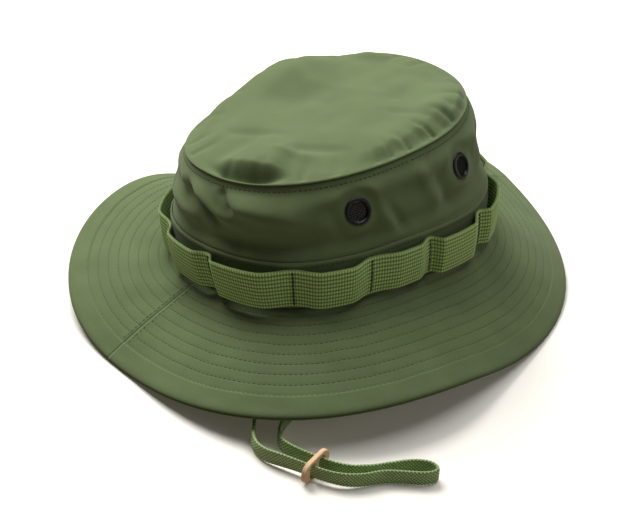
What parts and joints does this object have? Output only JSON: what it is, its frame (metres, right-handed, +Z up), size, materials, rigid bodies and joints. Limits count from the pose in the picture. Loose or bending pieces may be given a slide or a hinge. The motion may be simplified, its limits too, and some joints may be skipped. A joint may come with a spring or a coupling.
{
  "type": "boonie hat",
  "caption": "Soft field hat with a wide wavy stitched brim, low oval crown, webbing loops round the base, mesh vents and a flat chin cord with a sliding keeper.",
  "frame": {"origin": "on the surface that the hat stands on, under the middle of its brim", "axes": "+Z up, the hat's front faces -Y and the wearer's left side is +X"},
  "size_m": [0.3253, 0.3213, 0.1292],
  "materials": {
    "ripstop_cloth": "matt plain-weave cotton blend, olive green",
    "interlining": "stiff woven interlining, off-white",
    "sweatband_cloth": "smooth folded cloth tape, olive green",
    "webbing": "coarse ribbed webbing, yellowish olive",
    "cord_braid": "flat nylon braid, dark olive, slight sheen",
    "leather": "undyed tan leather, cut edges",
    "thread": "polyester thread, dark olive",
    "eyelet_metal": "black enamel, half gloss",
    "vent_mesh": "black woven wire mesh, matt"
  },
  "bodies": {
    "hat": {"brim_interlining_left": "interlining", "brim_interlining_right": "interlining", "brim_lower_left": "ripstop_cloth", "brim_lower_right": "ripstop_cloth", "brim_upper_left": "ripstop_cloth", "brim_upper_right": "ripstop_cloth", "chin_cord": "cord_braid", "cord_bar_tack_left": "thread", "cord_bar_tack_right": "thread", "crown_side": "ripstop_cloth", "crown_top": "ripstop_cloth", "foliage_webbing": "webbing", "outer_band": "ripstop_cloth", "sweatband": "sweatband_cloth", "vent_eyelet_left_back": "eyelet_metal", "vent_eyelet_left_front": "eyelet_metal", "vent_eyelet_right_back": "eyelet_metal", "vent_eyelet_right_front": "eyelet_metal", "vent_screen_left_back": "vent_mesh", "vent_screen_left_front": "vent_mesh", "vent_screen_right_back": "vent_mesh", "vent_screen_right_front": "vent_mesh", "vent_washer_left_back": "eyelet_metal", "vent_washer_left_front": "eyelet_metal", "vent_washer_right_back": "eyelet_metal", "vent_washer_right_front": "eyelet_metal", "webbing_bar_tacks": "thread"},
    "slider": {"cord_slider": "leather"}
  },
  "joints": [
    {"name": "slider_slide", "type": "slide", "parent": "hat", "child": "slider", "axis": [0.9272, 0.3746, 0], "range_m": [-0.008, 0.009]}
  ]
}
